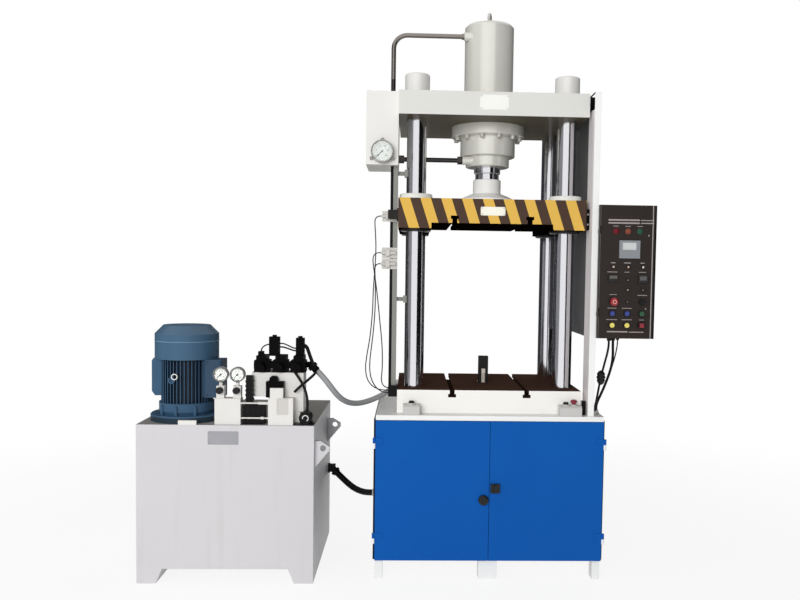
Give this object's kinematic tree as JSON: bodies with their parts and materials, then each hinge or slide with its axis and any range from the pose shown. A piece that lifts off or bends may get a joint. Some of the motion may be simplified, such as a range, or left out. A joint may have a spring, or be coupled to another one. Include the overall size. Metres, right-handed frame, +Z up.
{
  "type": "hydraulic press",
  "caption": "Column-guided hydraulic press with a sliding platen over a T-slotted table, a cabinet base, a side control box and a separate oil power pack joined by hoses.",
  "frame": {"origin": "centre of the machine's footprint on the floor, press and power pack together, its free hoses left out", "axes": "+Z up, -Y towards the operator, +X towards the control box's side"},
  "size_m": [2.279, 0.787, 2.6409],
  "materials": {
    "frame_white": "smooth off-white machine paint",
    "bed_paint": "off-white paint, the table's top dark",
    "door_blue": "glossy blue paint",
    "cover_dark": "dark grey paint",
    "column_chrome": "ground and hard-chromed",
    "cylinder_cream": "cream paint",
    "steel_bright": "bright steel",
    "steel_dark": "blackened steel",
    "steel_pipe": "drawn steel tube",
    "bush_bronze": "bronze, painted flanges",
    "guard_grey": "grey paint",
    "box_dark": "satin near-black paint",
    "gauge_black": "glossy black",
    "needle_black": "black pointer",
    "button_blue": "glossy blue",
    "button_green": "glossy green",
    "button_yellow": "glossy yellow",
    "button_red": "glossy red",
    "knob_black": "black",
    "instrument_grey": "grey and coloured fittings",
    "station_grey": "grey paint",
    "tank_white": "satin off-white paint",
    "motor_blue": "blue-grey machine enamel",
    "rotor_steel": "turned steel with a plain fan",
    "valve_white": "off-white paint",
    "valve_black": "black paint",
    "conduit_grey": "smooth grey sheath",
    "hose_black": "black rubber"
  },
  "bodies": {
    "machine": {"cabinet_frame": "frame_white", "side_covers": "cover_dark", "bed_plate": "bed_paint", "columns": "column_chrome", "column_nuts": "steel_bright", "crown_plate": "frame_white", "cylinder_barrel": "cylinder_cream", "cylinder_gland": "cylinder_cream", "cylinder_fasteners": "steel_bright", "lift_cylinder": "steel_dark", "gauge_box": "frame_white", "press_gauge": "gauge_black", "pressure_pipes": "steel_pipe", "switch_bar": "guard_grey", "limit_switches": "steel_bright", "duct_post": "frame_white", "side_guard": "guard_grey", "control_box": "box_dark", "station_housings": "station_grey", "tank": "tank_white", "motor_body": "motor_blue", "motor_cowl": "motor_blue", "gauge_block": "valve_white", "valve_manifold": "valve_white", "solenoid_valves": "valve_black", "pack_fittings": "valve_black", "press_fittings": "steel_bright", "conduit": "conduit_grey", "oil_hose": "hose_black", "sensor_cables": "hose_black", "panel_cables": "hose_black"},
    "platen_group": {"platen": "frame_white", "ram": "column_chrome", "ram_collar": "cylinder_cream", "guide_bushes": "bush_bronze", "trip_dog": "steel_dark"},
    "control_door_group": {"control_door": "box_dark", "panel_instruments": "instrument_grey"},
    "door_left_body": {"door_left": "door_blue"},
    "door_right_body": {"door_right": "door_blue"},
    "latch_left_body": {"latch_left": "knob_black"},
    "latch_right_body": {"latch_right": "knob_black"},
    "ejector_body": {"ejector": "steel_dark"},
    "button_blue_left_body": {"button_blue_left": "button_blue"},
    "button_blue_right_body": {"button_blue_right": "button_blue"},
    "button_green_body": {"button_green": "button_green"},
    "button_yellow_left_body": {"button_yellow_left": "button_yellow"},
    "button_yellow_right_body": {"button_yellow_right": "button_yellow"},
    "button_red_body": {"button_red": "button_red"},
    "emergency_stop_body": {"emergency_stop": "button_red"},
    "selector_switch_body": {"selector_switch": "knob_black"},
    "palm_button_left_body": {"palm_button_left": "knob_black"},
    "palm_button_right_body": {"palm_button_right": "knob_black"},
    "station_stop_body": {"station_stop": "button_red"},
    "press_gauge_needle_body": {"press_gauge_needle": "needle_black"},
    "gauge_valve_left_body": {"gauge_valve_left": "knob_black"},
    "gauge_valve_right_body": {"gauge_valve_right": "knob_black"},
    "pack_needle_left_body": {"pack_needle_left": "needle_black"},
    "pack_needle_right_body": {"pack_needle_right": "needle_black"},
    "motor_rotor_body": {"motor_rotor": "rotor_steel"}
  },
  "joints": [
    {"name": "platen_slide", "type": "slide", "parent": "machine", "child": "platen_group", "axis": [0, 0, 1], "range_m": [-0.25, 0.05]},
    {"name": "door_left_hinge", "type": "hinge", "parent": "machine", "child": "door_left_body", "pos_m": [-0.103, -0.338, 0.4], "axis": [0, 0, 1], "range_deg": [-110, 0]},
    {"name": "door_right_hinge", "type": "hinge", "parent": "machine", "child": "door_right_body", "pos_m": [0.934, -0.338, 0.4], "axis": [0, 0, 1], "range_deg": [0, 110]},
    {"name": "latch_left_turn", "type": "hinge", "parent": "door_left_body", "child": "latch_left_body", "pos_m": [0.3895, -0.336, 0.371], "axis": [0, 1, 0], "range_deg": [0, 90]},
    {"name": "latch_right_turn", "type": "hinge", "parent": "door_right_body", "child": "latch_right_body", "pos_m": [0.4415, -0.336, 0.424], "axis": [0, 1, 0], "range_deg": [-90, 0]},
    {"name": "ejector_slide", "type": "slide", "parent": "machine", "child": "ejector_body", "axis": [0, 0, 1], "range_m": [0, 0.08]},
    {"name": "control_door_hinge", "type": "hinge", "parent": "machine", "child": "control_door_group", "pos_m": [0.8825, -0.364, 1.4], "axis": [0, 0, 1], "range_deg": [-110, 0]},
    {"name": "button_blue_left_press", "type": "slide", "parent": "control_door_group", "child": "button_blue_left_body", "axis": [0, 1, 0], "range_m": [0, 0.004], "stiffness_N_per_m": 400, "springref_m": -0.003},
    {"name": "button_blue_right_press", "type": "slide", "parent": "control_door_group", "child": "button_blue_right_body", "axis": [0, 1, 0], "range_m": [0, 0.004], "stiffness_N_per_m": 400, "springref_m": -0.003},
    {"name": "button_green_press", "type": "slide", "parent": "control_door_group", "child": "button_green_body", "axis": [0, 1, 0], "range_m": [0, 0.004], "stiffness_N_per_m": 400, "springref_m": -0.003},
    {"name": "button_yellow_left_press", "type": "slide", "parent": "control_door_group", "child": "button_yellow_left_body", "axis": [0, 1, 0], "range_m": [0, 0.004], "stiffness_N_per_m": 400, "springref_m": -0.003},
    {"name": "button_yellow_right_press", "type": "slide", "parent": "control_door_group", "child": "button_yellow_right_body", "axis": [0, 1, 0], "range_m": [0, 0.004], "stiffness_N_per_m": 400, "springref_m": -0.003},
    {"name": "button_red_press", "type": "slide", "parent": "control_door_group", "child": "button_red_body", "axis": [0, 1, 0], "range_m": [0, 0.004], "stiffness_N_per_m": 400, "springref_m": -0.003},
    {"name": "emergency_stop_press", "type": "slide", "parent": "control_door_group", "child": "emergency_stop_body", "axis": [0, 1, 0], "range_m": [0, 0.004]},
    {"name": "selector_turn", "type": "hinge", "parent": "control_door_group", "child": "selector_switch_body", "pos_m": [1.0755, -0.362, 1.27], "axis": [0, 1, 0], "range_deg": [-45, 45]},
    {"name": "palm_button_left_press", "type": "slide", "parent": "machine", "child": "palm_button_left_body", "axis": [0, 0, -1], "range_m": [0, 0.004], "stiffness_N_per_m": 500, "springref_m": -0.003},
    {"name": "palm_button_right_press", "type": "slide", "parent": "machine", "child": "palm_button_right_body", "axis": [0, 0, -1], "range_m": [0, 0.004], "stiffness_N_per_m": 500, "springref_m": -0.003},
    {"name": "station_stop_press", "type": "slide", "parent": "machine", "child": "station_stop_body", "axis": [0, 0, -1], "range_m": [0, 0.004]},
    {"name": "press_gauge_needle_turn", "type": "hinge", "parent": "machine", "child": "press_gauge_needle_body", "pos_m": [-0.0835, -0.277, 1.923], "axis": [0, 1, 0], "range_deg": [0, 270], "stiffness_Nm_per_rad": 0.005, "springref_deg": -5.73},
    {"name": "pack_needle_left_turn", "type": "hinge", "parent": "machine", "child": "pack_needle_left_body", "pos_m": [-0.7785, -0.348, 0.926], "axis": [0, 1, 0], "range_deg": [0, 270], "stiffness_Nm_per_rad": 0.005, "springref_deg": -5.73},
    {"name": "pack_needle_right_turn", "type": "hinge", "parent": "machine", "child": "pack_needle_right_body", "pos_m": [-0.7055, -0.348, 0.926], "axis": [0, 1, 0], "range_deg": [0, 270], "stiffness_Nm_per_rad": 0.005, "springref_deg": -5.73},
    {"name": "gauge_valve_left_turn", "type": "hinge", "parent": "machine", "child": "gauge_valve_left_body", "pos_m": [-0.7785, -0.372, 0.858], "axis": [0, 1, 0], "range_deg": [0, 720]},
    {"name": "gauge_valve_right_turn", "type": "hinge", "parent": "machine", "child": "gauge_valve_right_body", "pos_m": [-0.7055, -0.372, 0.858], "axis": [0, 1, 0], "range_deg": [0, 720]},
    {"name": "motor_spin", "type": "hinge", "parent": "machine", "child": "motor_rotor_body", "pos_m": [-0.9625, -0.2, 1], "axis": [0, 0, 1], "continuous": true}
  ]
}
